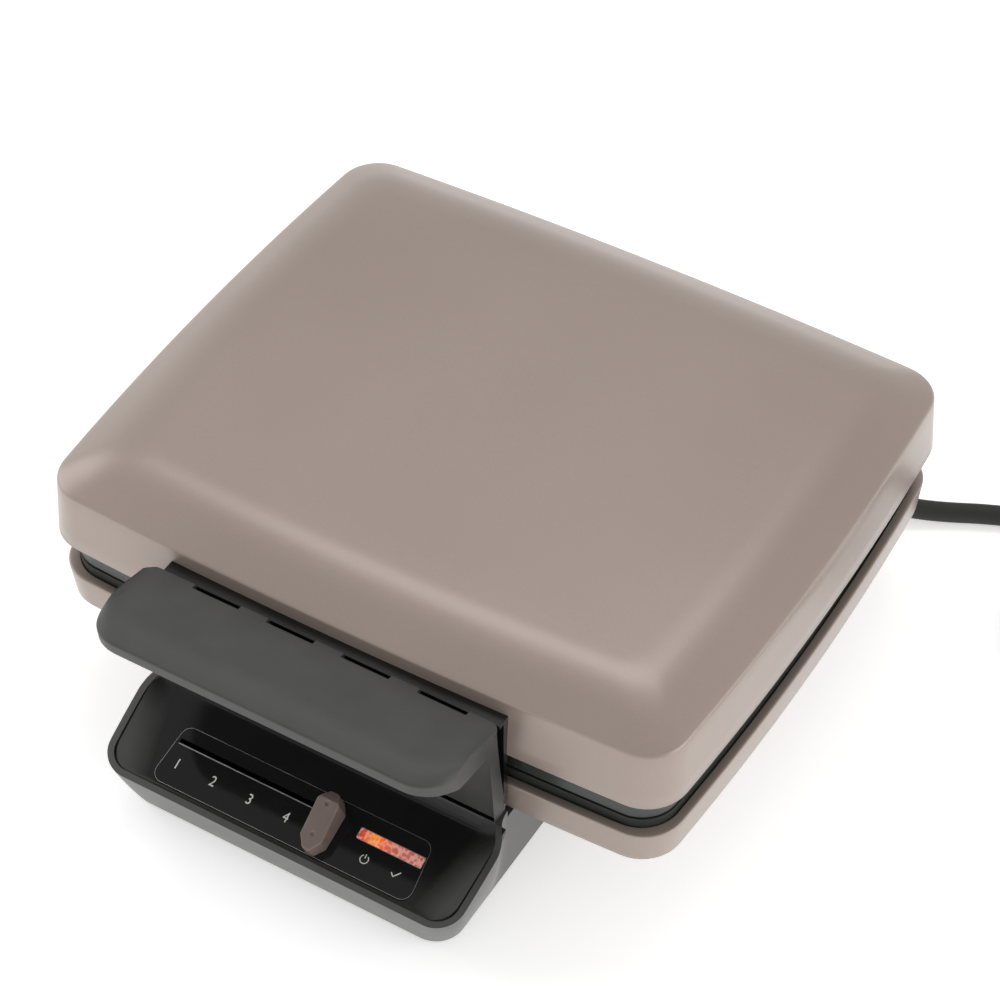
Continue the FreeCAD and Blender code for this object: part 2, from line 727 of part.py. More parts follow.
def cord_clamp():
    """Saddle that grips the cord inside the base."""
    start, along = outlet()
    centre = start - along * 15.0
    saddle = box(-12.0, 12.0, -4.0, 4.0, foot_height + 2.0, outlet_z + 8.0)
    saddle = saddle.cut(rod(cord_r, V(0, -9.0, outlet_z), V(0, 9.0, outlet_z)))
    saddle.rotate(V(0, 0, 0), V(0, 0, 1), -45.0)
    saddle.translate(V(centre.x, centre.y, 0))
    return saddle


def tube_through(points, radius):
    """A tube along straight runs that are joined by tangent arcs, and its smallest bend."""
    runs = [(points[i + 1] - points[i]).Length for i in range(len(points) - 1)]
    edges = []
    bends = []
    at = points[0]
    for i in range(1, len(points) - 1):
        before = (points[i] - points[i - 1]).normalize()
        after = (points[i + 1] - points[i]).normalize()
        turn = before.getAngle(after)
        bend = 0.45 * min(runs[i - 1], runs[i]) / math.tan(turn / 2)
        reach = bend * math.tan(turn / 2)
        start = points[i] - before * reach
        end = points[i] + after * reach
        inward = (after - before).normalize()
        centre = points[i] + inward * (bend / math.cos(turn / 2))
        edges.append(Part.LineSegment(at, start).toShape())
        edges.append(Part.Arc(start, centre - inward * bend, end).toShape())
        bends.append(bend)
        at = end
    edges.append(Part.LineSegment(at, points[-1]).toShape())
    path = Part.Wire(edges)
    ring = Part.Wire(Part.makeCircle(radius, points[0], (points[1] - points[0])))
    tube = path.makePipeShell([ring], True, False)
    return tube, path.Length, bends


def inner_wires():
    """Three wires from the terminal block to the thermostat and the heaters."""
    wires = []
    for i, x in enumerate((14.0, 24.0, 34.0)):
        route = [V(x, 20.0, 9.0), V(x, 4.0, 9.0), V(x * 0.5 - 6.0, -8.0, 14.0 + 3.0 * i),
                 V(x * 0.3 - 14.0, -19.0, 21.0 + 2.0 * i), V(x * 0.3 - 15.0, -23.4, 23.0 + 2.0 * i)]
        wires.append(tube_through(route, 1.1)[0])
    return Part.makeCompound(wires)


def cord_tail():
    """The end of the cord inside the base, through the clamp to the terminal block."""
    start, along = outlet()
    inner = start - along * 4.0
    back = start - along * 22.0
    return rod(cord_r, back, inner)


def cord_protector():
    """Tapered sleeve that leaves the rear corner, with a flange inside the wall."""
    start, along = outlet()
    inside = start - along * 4.0
    neck = rod(5.0, inside, start + along)
    flange = rod(6.2, inside, start - along * (wall + 0.4))
    outside = start + along * 0.3
    sleeve = Part.makeCone(6.4, 5.0, protector_length - 0.3, outside, along)
    grooves = []
    for i in range(5):
        at = start + along * (10.0 + 5.0 * i)
        ring = Part.makeCylinder(9.0, 1.4, at, along)
        grooves.append(ring.cut(Part.makeCylinder(4.75, 1.4, at, along)))
    return neck.fuse([flange, sleeve]).cut(Part.makeCompound(grooves)).removeSplitter()


# ---- cord ---------------------------------------------------------------
outlet_start, outlet_along = outlet()
cord_exit = outlet_start + outlet_along * protector_length
cord_route = [cord_exit, V(92.0, 124.2, 10.9), V(105.7, 134.3, 7.6), V(120.7, 142.4, 4.2),
              V(143.0, 154.3, cord_r), V(175.0, 165.9, cord_r), V(208.2, 173.0, cord_r)]
turn_outer = 48.0          # middle of the cord in the two turns on the surface
turn_inner = 40.0
turn_top = 44.0            # and in the stretch that lies on them
top_z = cord_r + 6.93
join_angle = 102.0         # where the cord meets the outer turn, seen from above


def coil_middle():
    """Centre of the coil, beside the end of the loose stretch."""
    lean = math.radians(join_angle)
    end = cord_route[-1]
    return V(end.x - turn_outer * math.cos(lean), end.y - turn_outer * math.sin(lean), 0)


coil_centre = coil_middle()
lead_z = 11.5
lead_end = coil_centre + V(turn_top, -38.0, lead_z)


def power_cord():
    """The free cord from the sleeve to the coil, lying on the surface."""
    tube, length, bends = tube_through(cord_route, cord_r)
    print("cord tube length %.1f, volume ratio %.4f" %
          (length, tube.Volume / (math.pi * cord_r ** 2 * length)))
    print("cord bends", [round(b, 1) for b in bends])
    return tube


def ring_block(middle_r, half_width, z0, z1, sweep):
    """A flat ring, or a part of one that starts at +X and turns towards +Y."""
    block = Part.makeCylinder(middle_r + half_width, z1 - z0, coil_centre + V(0, 0, z0), V(0, 0, 1),
                              sweep)
    return block.cut(Part.makeCylinder(middle_r - half_width, z1 - z0, coil_centre + V(0, 0, z0)))


def cord_coil():
    """Outer shape of the put-away turns, and the lead that runs from them to the plug."""
    middle = (turn_outer + turn_inner) / 2
    flat = ring_block(middle, 2 * cord_r, 0.0, 2 * cord_r, 360.0)
    top = ring_block(turn_top, cord_r, cord_r, top_z + cord_r, join_angle)
    lead = rod(cord_r, coil_centre + V(turn_top, 0, lead_z), lead_end)
    return flat.fuse([top, lead]).removeSplitter()


plug_r = 18.5
plug_back = 26.0
relief_length = 20.0
plug_centre = V(lead_end.x, lead_end.y - relief_length - plug_r + 2.0, 0)


def plug_body():
    """Earthed plug that lies on its flat back, with its cord leaving sideways."""
    disc = Part.makeCylinder(plug_r, plug_back, plug_centre)
    disc = disc.makeFillet(2.0, near(disc, z=plug_back))
    relief = Part.makeCone(5.0, 7.0, relief_length + 2.0, lead_end, V(0, -1, 0))
    for x in (-plug_r - 0.2, plug_r - 1.8):
        notch = box(plug_centre.x + x, plug_centre.x + x + 2.0, plug_centre.y - 3.0,
                    plug_centre.y + 3.0, 8.0, plug_back + 1.0)
        disc = disc.cut(notch)
    return disc.fuse(relief).removeSplitter()


def plug_pins():
    """Two round pins."""
    pins = []
    for side in (-1, 1):
        pin = Part.makeCylinder(2.4, 19.0, plug_centre + V(side * 9.5, 0, plug_back))
        pins.append(pin.makeFillet(1.2, near(pin, z=plug_back + 19.0)))
    return Part.makeCompound(pins)


# ---- write every sub-part ----------------------------------------------
plate = grid_plate()
pegs = grid_pegs()
element = heating_element()
tray = reflector()
clips = element_clips()
grip_screws = handle_screws()
lid_screws = arm_screws()
screws_in_lid = Part.makeCompound([grip_screws, lid_screws])
bottom_screws = base_screws()

nodes = {
    "lid_cover": lid_cover().cut(screws_in_lid),
    "upper_frame": upper_frame(),
    "upper_grid_plate": mirror_up(plate),
    "upper_grid_pegs": mirror_up(pegs),
    "upper_heating_element": mirror_up(element),
    "upper_reflector": mirror_up(tray),
    "upper_element_clips": mirror_up(clips),
    "upper_thermal_fuse": mirror_up(fuse_capsule(-20.0)),
    "handle_grip": handle_grip(),
    "handle_bracket": handle_bracket().cut(grip_screws),
    "handle_screws": grip_screws,
    "hinge_arm_left": hinge_arm(-1).cut(lid_screws),
    "hinge_arm_right": hinge_arm(1).cut(lid_screws),
    "hinge_arm_screws": lid_screws,
    "lower_shell": lower_shell(),
    "lower_frame": lower_frame(),
    "lower_grid_plate": plate,
    "lower_grid_pegs": pegs,
    "lower_heating_element": element,
    "lower_reflector": tray,
    "lower_element_clips": clips,
    "lower_thermal_fuse": fuse_capsule(20.0),
    "hinge_bracket_left": hinge_bracket(-1),
    "hinge_bracket_right": hinge_bracket(1),
    "hinge_pin_left": hinge_pin(-1),
    "hinge_pin_right": hinge_pin(1),
    "base_housing": base_housing(),
    "console_fascia": console_fascia(),
    "control_panel": control_panel(),
    "indicator_window": indicator_window(),
    "slider_knob": slider_knob(),
    "slider_carriage": slider_carriage(),
    "slider_rail": slider_rail(),
    "thermostat": thermostat(),
    "thermostat_lever": thermostat_lever(),
    "lamp_board": lamp_board(),
    "power_lamp": lamp(33.0),
    "ready_lamp": lamp(44.0),
    "terminal_block": terminal_block(),
    "inner_wires": inner_wires(),
    "cord_clamp": cord_clamp(),
    "cord_tail": cord_tail(),
    "base_plate": base_plate().cut(bottom_screws),
    "screw_posts": screw_posts(),
    "base_screws": bottom_screws,
    "feet": feet(),
    "cord_protector": cord_protector(),
    "power_cord": power_cord(),
    "cord_coil": cord_coil(),
    "plug_body": plug_body(),
    "plug_pins": plug_pins(),
}

for name, shape in nodes.items():
    shape.exportStep("parts/%s.step" % name)
    size = shape.BoundBox
    print("%-24s solids %2d valid %s volume %9.1f  x %.1f %.1f  y %.1f %.1f  z %.1f %.1f" % (
        name, len(shape.Solids), shape.isValid(), shape.Volume, size.XMin, size.XMax,
        size.YMin, size.YMax, size.ZMin, size.ZMax))
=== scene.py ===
import bpy
import bmesh
import json
import math
from mathutils import Matrix, Vector


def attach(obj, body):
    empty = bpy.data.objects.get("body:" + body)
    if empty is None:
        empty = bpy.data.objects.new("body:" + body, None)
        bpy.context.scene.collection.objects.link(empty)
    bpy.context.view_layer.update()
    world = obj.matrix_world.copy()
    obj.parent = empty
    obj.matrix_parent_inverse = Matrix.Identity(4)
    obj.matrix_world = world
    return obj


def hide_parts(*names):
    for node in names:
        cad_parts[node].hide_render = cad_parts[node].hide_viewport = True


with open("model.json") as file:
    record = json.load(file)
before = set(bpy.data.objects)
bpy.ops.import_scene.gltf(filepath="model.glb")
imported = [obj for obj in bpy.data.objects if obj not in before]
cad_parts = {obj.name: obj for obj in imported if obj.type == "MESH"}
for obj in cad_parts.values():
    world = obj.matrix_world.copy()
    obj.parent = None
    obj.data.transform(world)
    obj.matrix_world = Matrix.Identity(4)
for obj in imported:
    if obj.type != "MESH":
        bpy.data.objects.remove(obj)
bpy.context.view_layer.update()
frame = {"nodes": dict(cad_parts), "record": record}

mm = 0.001

# Waffle maker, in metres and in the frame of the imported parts: front towards -Y, standing on z = 0.
print("frame loaded")

# camera
cameraSettings = {
    "target": (0.01707, -0.0115, 0.092),
    "turn": 31.218,      # degrees round to the right of the front
    "rise": 46.031,      # degrees above the horizon
    "distance": 1.1093,
    "roll": -0.111,
    "lens": 113.58,
}


def makeCamera(s):
    turn, rise = math.radians(s["turn"]), math.radians(s["rise"])
    back = Vector((math.sin(turn) * math.cos(rise), -math.cos(turn) * math.cos(rise), math.sin(rise)))
    data = bpy.data.cameras.new("camera")
    data.lens = s["lens"]
    camera = bpy.data.objects.new("camera", data)
    camera.location = Vector(s["target"]) + back * s["distance"]
    camera.rotation_mode = "QUATERNION"
    spin = Matrix.Rotation(math.radians(s["roll"]), 4, "Z").to_quaternion()
    camera.rotation_quaternion = (-back).to_track_quat("-Z", "Y") @ spin
    bpy.context.scene.collection.objects.link(camera)
    bpy.context.scene.camera = camera


makeCamera(cameraSettings)


# shader maths
class Value:
    # a socket that can be used in plain sums
    def __init__(self, shader, socket):
        self.shader = shader
        self.socket = socket

    def sum(self, operation, first, second=0.0):
        return self.shader.node("ShaderNodeMath", {"operation": operation}, {0: first, 1: second})

    def __add__(self, other):
        return self.sum("ADD", self, other)

    def __sub__(self, other):
        return self.sum("SUBTRACT", self, other)

    def __mul__(self, other):
        return self.sum("MULTIPLY", self, other)

    def __truediv__(self, other):
        return self.sum("DIVIDE", self, other)

    def __rsub__(self, other):
        return self.sum("SUBTRACT", other, self)

    __radd__ = __add__
    __rmul__ = __mul__


class Shader:
    # the nodes of one material, or of the world
    def __init__(self, name, surface="Principled BSDF"):
        owners = bpy.data.worlds if surface == "Background" else bpy.data.materials
        self.owner = owners.new(name)
        self.owner.use_nodes = True
        self.tree = self.owner.node_tree
        self.surface = self.tree.nodes[surface]

    def node(self, kind, settings=None, inputs=None, out=0):
        made = self.tree.nodes.new(kind)
        for key, value in (settings or {}).items():
            if key == "stops":
                ramp = made.color_ramp
                while len(ramp.elements) < len(value):
                    ramp.elements.new(1.0)
                for element, (at, colour) in zip(ramp.elements, value):
                    element.position = at
                    element.color = (*colour, 1.0)
            else:
                setattr(made, key, value)
        for key, value in (inputs or {}).items():
            self.feed(made.inputs[key], value)
        return Value(self, made.outputs[out])

    def feed(self, socket, value):
        if isinstance(value, Value):
            self.tree.links.new(value.socket, socket)
        elif hasattr(value, "__len__") and len(value) == 3 and socket.type == "RGBA":
            socket.default_value = (*value, 1.0)
        else:
            socket.default_value = value

    def place(self):
        return self.node("ShaderNodeTexCoord", out="Object")

    def stretched(self, scale):
        return self.node("ShaderNodeMapping", {}, {"Vector": self.place(), "Scale": scale})

    def axis(self, name):
        return self.node("ShaderNodeSeparateXYZ", {}, {0: self.place()}, out=name)

    def noise(self, scale, detail=3.0, rough=0.5, at=None):
        inputs = {"Vector": at or self.place(), "Scale": scale, "Detail": detail, "Roughness": rough}
        return self.node("ShaderNodeTexNoise", {}, inputs)

    def mix(self, factor, first, second):
        inputs = {"Factor": factor, 6: first, 7: second}
        return self.node("ShaderNodeMix", {"data_type": "RGBA"}, inputs, out=2)

    def ramp(self, factor, stops):
        return self.node("ShaderNodeValToRGB", {"stops": stops}, {"Fac": factor})

    def between(self, value, low, high, toLow=0.0, toHigh=1.0):
        inputs = {"Value": value, "From Min": low, "From Max": high, "To Min": toLow, "To Max": toHigh}
        return self.node("ShaderNodeMapRange", {}, inputs)

    def bump(self, height, distance, strength=1.0):
        inputs = {"Height": height, "Distance": distance, "Strength": strength}
        return self.node("ShaderNodeBump", {}, inputs)

    def finish(self, linked, fixed):
        for key, value in {**fixed, **linked}.items():
            self.feed(self.surface.inputs[key], value)
        return self.owner


# finishes
def taupeLacquer():
    s = Shader("taupeLacquer")
    flake = s.noise(5200.0, 1.0)
    drift = s.noise(9.0, 2.0)
    peel = s.noise(420.0, 2.0)
    deep, pale = (0.315, 0.249, 0.214), (0.372, 0.300, 0.260)
    colour = s.mix(s.between(flake * 0.6 + drift * 0.4, 0.35, 0.65), deep, pale)
    return s.finish({"Base Color": colour, "Roughness": s.between(flake, 0.3, 0.7, 0.36, 0.43),
                     "Normal": s.bump(peel * 0.7 + flake * 0.3, 0.00004)},
                    {"Metallic": 0.3, "Coat Roughness": 0.22, "Coat Weight": 0.5})


def grainedBlack():
    s = Shader("grainedBlack")
    grain = s.node("ShaderNodeTexVoronoi", {}, {"Vector": s.place(), "Scale": 2600.0})
    cloud = s.noise(60.0, 4.0)
    colour = s.mix(s.between(cloud, 0.3, 0.7), (0.040, 0.040, 0.039), (0.054, 0.054, 0.052))
    return s.finish({"Base Color": colour, "Roughness": s.between(cloud, 0.3, 0.7, 0.46, 0.56),
                     "Normal": s.bump(grain, 0.00005, 0.6)},
                    {"Specular IOR Level": 0.55})


def satinBlack():
    s = Shader("satinBlack")
    fine = s.noise(3000.0, 2.0)
    cloud = s.noise(35.0, 4.0)
    colour = s.mix(s.between(cloud, 0.3, 0.7), (0.012, 0.012, 0.012), (0.019, 0.019, 0.018))
    return s.finish({"Base Color": colour, "Roughness": s.between(cloud, 0.3, 0.7, 0.30, 0.38),
                     "Normal": s.bump(fine, 0.00003, 0.5)}, {})


def consoleSheen():
    s = Shader("consoleSheen")
    fine = s.noise(3000.0, 2.0)
    cloud = s.noise(30.0, 4.0)
    colour = s.mix(s.between(cloud, 0.3, 0.7), (0.004, 0.004, 0.004), (0.007, 0.007, 0.007))
    return s.finish({"Base Color": colour, "Roughness": s.between(cloud, 0.3, 0.7, 0.17, 0.24),
                     "Normal": s.bump(fine, 0.00001, 0.4)}, {"Specular IOR Level": 0.45})


def housingBlack():
    s = Shader("housingBlack")
    grain = s.node("ShaderNodeTexVoronoi", {}, {"Vector": s.place(), "Scale": 2600.0})
    cloud = s.noise(50.0, 4.0)
    colour = s.mix(s.between(cloud, 0.3, 0.7), (0.050, 0.050, 0.047), (0.062, 0.062, 0.058))
    return s.finish({"Base Color": colour, "Roughness": s.between(cloud, 0.3, 0.7, 0.36, 0.44),
                     "Normal": s.bump(grain, 0.00004, 0.5)},
                    {"Specular IOR Level": 0.6, "Coat Weight": 0.35, "Coat Roughness": 0.3})


def flankBlack():
    # grained at the rim, and polished like the floor where the two meet; darker towards the rear, under the
    # handle wing, as painted shade
    s = Shader("flankBlack")
    grain = s.node("ShaderNodeTexVoronoi", {}, {"Vector": s.place(), "Scale": 2600.0})
    side = s.node("ShaderNodeMath", {"operation": "ABSOLUTE"}, {0: s.axis("X")})
    grainAndShade = s.node("ShaderNodeMath", {"operation": "MAXIMUM"},
                  {0: s.between(side - s.axis("Y") * 0.286, 0.0925, 0.1035),
                   1: s.between(s.axis("Y"), -0.1333, -0.1356)})
    # painted shade: towards the rear, under the handle wing, the colour is pulled to the floor's near black
    # and the surface made glossier
    rear = s.between(s.axis("Y"), -0.104, -0.114)
    grainAndShade = grainAndShade * (0.35 + rear * 0.65)
    return s.finish({"Base Color": s.mix(grainAndShade, (0.005, 0.005, 0.005), (0.062, 0.063, 0.057)),
                     "Roughness": s.between(grainAndShade, 0.0, 1.0, 0.22, 0.52),
                     "Normal": s.bump(grain, 0.00004, 0.5)},
                    {"Specular IOR Level": 0.45})


def frameBlack():
    s = Shader("frameBlack")
    fine = s.noise(1500.0, 2.0)
    cloud = s.noise(25.0, 3.0)
    colour = s.mix(cloud, (0.020, 0.024, 0.021), (0.032, 0.037, 0.033))
    return s.finish({"Base Color": colour, "Roughness": s.between(cloud, 0.3, 0.7, 0.20, 0.30),
                     "Normal": s.bump(fine, 0.00002, 0.5)}, {"Specular IOR Level": 0.6})


def polishedBlack():
    s = Shader("polishedBlack")
    haze = s.noise(40.0, 5.0)
    smudge = s.noise(400.0, 2.0)
    return s.finish({"Base Color": s.mix(haze, (0.006, 0.006, 0.006), (0.010, 0.010, 0.011)),
                     "Roughness": s.between(haze * 0.7 + smudge * 0.3, 0.35, 0.7, 0.05, 0.13),
                     "Normal": s.bump(smudge, 0.000006, 0.4)}, {"Specular IOR Level": 0.35})


def nonStick():
    s = Shader("nonStick")
    speck = s.node("ShaderNodeTexVoronoi", {}, {"Vector": s.place(), "Scale": 900.0})
    grain = s.noise(1800.0, 3.0)
    colour = s.mix(s.between(speck, 0.05, 0.18), (0.075, 0.075, 0.076), (0.030, 0.030, 0.031))
    return s.finish({"Base Color": colour, "Roughness": s.between(grain, 0.3, 0.7, 0.38, 0.5),
                     "Normal": s.bump(grain, 0.00004, 0.6)}, {"Metallic": 0.2})


def rolledSteel(name="rolledSteel", tint=(0.55, 0.55, 0.54)):
    s = Shader(name)
    brush = s.noise(300.0, 4.0, at=s.stretched((1.0, 1.0, 14.0)))
    dull = tuple(c * 0.78 for c in tint)
    return s.finish({"Base Color": s.mix(brush, dull, tint),
                     "Roughness": s.between(brush, 0.3, 0.7, 0.25, 0.42),
                     "Normal": s.bump(brush, 0.00003, 0.4)}, {"Metallic": 1.0})


def heatedSteel():
    s = Shader("heatedSteel")
    cloud = s.noise(30.0, 4.0)
    colour = s.ramp(cloud, [(0.3, (0.20, 0.17, 0.14)), (0.5, (0.34, 0.26, 0.18)), (0.7, (0.22, 0.2, 0.22))])
    return s.finish({"Base Color": colour, "Roughness": s.between(cloud, 0.3, 0.7, 0.35, 0.55)},
                    {"Metallic": 0.9})


def mouldedPlastic(name, dark, light, roughness, grainSize=1800.0):
    s = Shader(name)
    cloud = s.noise(90.0, 3.0)
    grain = s.noise(grainSize, 2.0)
    colour = s.mix(s.between(cloud, 0.3, 0.7), dark, light)
    rough = s.between(cloud, 0.3, 0.7, roughness - 0.04, roughness + 0.05)
    return s.finish({"Base Color": colour, "Roughness": rough, "Normal": s.bump(grain, 0.00004, 0.5)}, {})


def softRubber(name, shade):
    s = Shader(name)
    cloud = s.noise(140.0, 4.0)
    fine = s.noise(2400.0, 2.0)
    dark = tuple(c * 0.75 for c in shade)
    return s.finish({"Base Color": s.mix(cloud, dark, shade),
                     "Roughness": s.between(cloud, 0.3, 0.7, 0.5, 0.66),
                     "Normal": s.bump(fine, 0.00005, 0.5)}, {"Specular IOR Level": 0.4})


def glowingLens():
    s = Shader("glowingLens")
    along = s.between(s.axis("X"), 0.0255, 0.0515)
    cells = s.node("ShaderNodeTexVoronoi", {}, {"Vector": s.place(), "Scale": 700.0})
    glow = s.ramp(along, [(0.0, (0.42, 0.04, 0.02)), (0.10, (0.70, 0.08, 0.03)), (0.24, (1.0, 0.30, 0.01)),
                          (0.36, (0.85, 0.12, 0.03)), (0.55, (0.50, 0.10, 0.07)), (0.8, (0.42, 0.11, 0.09)),
                          (1.0, (0.30, 0.07, 0.06))])
    lit = s.mix(s.between(cells, 0.45, 0.62), glow, (1.0, 0.55, 0.42))
    colour = s.mix(0.7, glow, (0.10, 0.03, 0.025))
    return s.finish({"Base Color": colour, "Emission Color": s.mix(0.5, glow, lit)},
                    {"Roughness": 0.12, "Emission Strength": 0.7, "Coat Weight": 0.5, "Coat Roughness": 0.08})


finishes = {
    "body_lacquer": taupeLacquer(),
    "black_moulding": grainedBlack(),
    "console_black": satinBlack(),
    "gloss_black": polishedBlack(),
    "frame_black": frameBlack(),
    "plate_coating": nonStick(),
    "heater_steel": heatedSteel(),
    "bright_sheet": rolledSteel("brightSheet", (0.85, 0.85, 0.85)),
    "hinge_steel": rolledSteel("hingeSteel", (0.5, 0.5, 0.49)),
    "screw_steel": rolledSteel("screwSteel", (0.66, 0.65, 0.62)),
    "knob_taupe": mouldedPlastic("knobTaupe", (0.165, 0.122, 0.108), (0.20, 0.148, 0.132), 0.38),
    "window_clear": glowingLens(),
    "lamp_amber": mouldedPlastic("lampAmber", (0.8, 0.25, 0.05), (0.95, 0.4, 0.1), 0.15),
    "carriage_white": mouldedPlastic("nylonWhite", (0.62, 0.61, 0.56), (0.7, 0.69, 0.64), 0.4),
    "board_green": mouldedPlastic("laminate", (0.25, 0.19, 0.09), (0.34, 0.27, 0.13), 0.5),
    "terminal_white": mouldedPlastic("terminalWhite", (0.68, 0.67, 0.62), (0.78, 0.77, 0.73), 0.35),
    "wire_white": mouldedPlastic("wireSleeve", (0.55, 0.53, 0.47), (0.68, 0.66, 0.6), 0.55),
    "foot_rubber": softRubber("footRubber", (0.030, 0.030, 0.030)),
    "cord_black": softRubber("cordRubber", (0.022, 0.022, 0.020)),
    "plug_black": softRubber("plugRubber", (0.026, 0.026, 0.025)),
    "pin_nickel": rolledSteel("pinNickel", (0.8, 0.78, 0.73)),
}
for sub in frame["record"]["subparts"]:
    node = frame["nodes"][sub["node"]]
    node.data.materials.clear()
    node.data.materials.append(finishes[sub["material_slot"]])
frame["nodes"]["console_fascia"].data.materials[0] = consoleSheen()
frame["nodes"]["handle_bracket"].data.materials[0] = frame["nodes"]["console_fascia"].data.materials[0]
frame["nodes"]["base_housing"].data.materials[0] = housingBlack()
print("finishes made")

# cord
cordSettings = {
    "radius": 0.004,
    "route": [(0.081405, 0.113605, 0.011), (0.0920, 0.1242, 0.0109), (0.1057, 0.1343, 0.0076),
              (0.1207, 0.1424, 0.0042), (0.1430, 0.1543, 0.004), (0.1750, 0.1659, 0.004),
              (0.2082, 0.1730, 0.004)],
    "outerTurn": 0.048,
    "innerTurn": 0.040,
    "topTurn": 0.044,
    "joinAngle": 102.0,
    "topHeight": 0.01093,
    "inward": (360.0, 420.0),     # degrees of winding in which the cord moves to the inner turn
    "upward": (690.0, 745.0),     # and in which it climbs onto the other two
    "leadHeight": 0.0115,
    "leadLength": 0.038,
    "pointsPerTurn": 16,
}


def shareOf(value, span):
    return min(max((value - span[0]) / (span[1] - span[0]), 0.0), 1.0)


def cordPoints(s):
    points = [Vector(p) for p in s["route"]]
    end = points[-1]
    lean = math.radians(s["joinAngle"])
    middle = end - Vector((math.cos(lean), math.sin(lean), 0)) * s["outerTurn"]
    middle.z = 0
    step = 360.0 / s["pointsPerTurn"]
    total = 720.0 + s["joinAngle"]
    count = int(round(total / step))
    for i in range(1, count + 1):
        wound = total * i / count
        across, climb = shareOf(wound, s["inward"]), shareOf(wound, s["upward"])
        radius = s["outerTurn"] + (s["innerTurn"] - s["outerTurn"]) * across
        radius += (s["topTurn"] - s["innerTurn"]) * climb
        height = s["radius"] + (s["topHeight"] - s["radius"]) * climb
        angle = math.radians(s["joinAngle"] - wound)
        points.append(middle + Vector((math.cos(angle), math.sin(angle), 0)) * radius
                      + Vector((0, 0, height)))
    for share in (0.35, 0.7, 1.0):
        points.append(middle + Vector((s["topTurn"], -s["leadLength"] * share, s["leadHeight"])))
    return points


def makeCord(s):
    data = bpy.data.curves.new("powerCord", "CURVE")
    data.dimensions = "3D"
    data.bevel_depth = s["radius"]
    data.bevel_resolution = 8
    data.use_fill_caps = True
    spline = data.splines.new("NURBS")
    points = cordPoints(s)
    spline.points.add(len(points) - 1)
    for point, place in zip(spline.points, points):
        point.co = (*place, 1.0)
    spline.order_u = 3
    spline.use_endpoint_u = True
    spline.resolution_u = 8
    cord = bpy.data.objects.new("powerCord", data)
    bpy.context.scene.collection.objects.link(cord)
    data.materials.append(finishes["cord_black"])
    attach(cord, "base")
    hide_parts("power_cord", "cord_coil")
    length = sum((b - a).length for a, b in zip(points, points[1:]))
    print("cord control line", round(length, 4))
    return cord


powerCord = makeCord(cordSettings)
print("cord laid")

# shapes shared by the pieces, in millimetres
def roundedPath(corners, steps=6):
    # closed path of (u, v, radius) corners, each turned into an arc
    path = []
    for i, (u, v, radius) in enumerate(corners):
        here = Vector((u, v))
        before = (Vector(corners[i - 1][:2]) - here).normalized()
        after = (Vector(corners[(i + 1) % len(corners)][:2]) - here).normalized()
        half = before.angle(after) / 2
        middle = here + (before + after).normalized() * (radius / math.sin(half))
        reach = radius / math.tan(half)
        start = here + before * reach - middle
        end = here + after * reach - middle
        first = math.atan2(start.y, start.x)
        turn = (math.atan2(end.y, end.x) - first + math.pi) % (2 * math.pi) - math.pi
        for k in range(steps + 1):
            angle = first + turn * k / steps
            path.append((middle.x + radius * math.cos(angle), middle.y + radius * math.sin(angle)))
    return path


def arcPoints(middle, radius, first, last, steps):
    span = [first + (last - first) * k / steps for k in range(steps + 1)]
    return [(middle[0] + radius * math.cos(a), middle[1] + radius * math.sin(a)) for a in span]


bodyPlan = {"halfX": 130.0, "halfY": 109.0, "centreY": 17.5, "sideBow": 4.3, "frontBow": 3.3,
            "corner": 16.0, "cornerLoss": 0.25, "cornerLeast": 5.0}


def bodyRing(s, inset, z, share=1.0):
    # the body's plan, four long bows with rounded corners, as a ring at height z
    halfX, halfY = s["halfX"] - inset, s["halfY"] - inset
    radius = max(s["corner"] - s["cornerLoss"] * inset, s["cornerLeast"])
    chordX, chordY = halfX - s["sideBow"], halfY - s["frontBow"]
    sideR = (chordY ** 2 + s["sideBow"] ** 2) / (2 * s["sideBow"])
    frontR = (chordX ** 2 + s["frontBow"] ** 2) / (2 * s["frontBow"])
    sideC, frontC = Vector((halfX - sideR, 0)), Vector((0, halfY - frontR))
    reachA, reachB = sideR - radius, frontR - radius
    apart = frontC - sideC
    along = (reachA ** 2 - reachB ** 2 + apart.length ** 2) / (2 * apart.length)
    across = math.sqrt(reachA ** 2 - along ** 2)
    way = apart.normalized()
    middle = sideC + way * along + Vector((way.y, -way.x)) * across
    if middle.x < 0:
        middle = sideC + way * along - Vector((way.y, -way.x)) * across
    lean = math.atan2(middle.y - sideC.y, middle.x - sideC.x)
    rise = math.atan2(middle.y - frontC.y, middle.x - frontC.x)
    quarter = arcPoints(sideC, sideR, 0.0, lean, 12)
    quarter += arcPoints(middle, radius, lean, rise, 10)[1:]
    quarter += arcPoints(frontC, frontR, rise, math.pi / 2, 12)[1:]
    back = quarter[::-1]
    ring = quarter[:-1] + [(-x, y) for x, y in back][:-1]
    ring += [(-x, -y) for x, y in quarter][:-1] + [(x, -y) for x, y in back][:-1]
    return [(x * share, y * share + s["centreY"], z) for x, y in ring]


def loft(rings, fans=False):
    # quads between rings of equal length, and a cap on both ends
    count = len(rings[0])
    points = [p for ring in rings for p in ring]
    faces = []
    for a in range(len(rings) - 1):
        for i in range(count):
            j = (i + 1) % count
            faces.append((a * count + i, a * count + j, (a + 1) * count + j, (a + 1) * count + i))
    for start in (0, (len(rings) - 1) * count):
        ring = list(range(start, start + count))
        if fans:
            points.append(tuple(sum(points[i][k] for i in ring) / count for k in range(3)))
            faces += [(ring[i], ring[(i + 1) % count], len(points) - 1) for i in range(count)]
        else:
            faces.append(tuple(ring))
    return points, faces


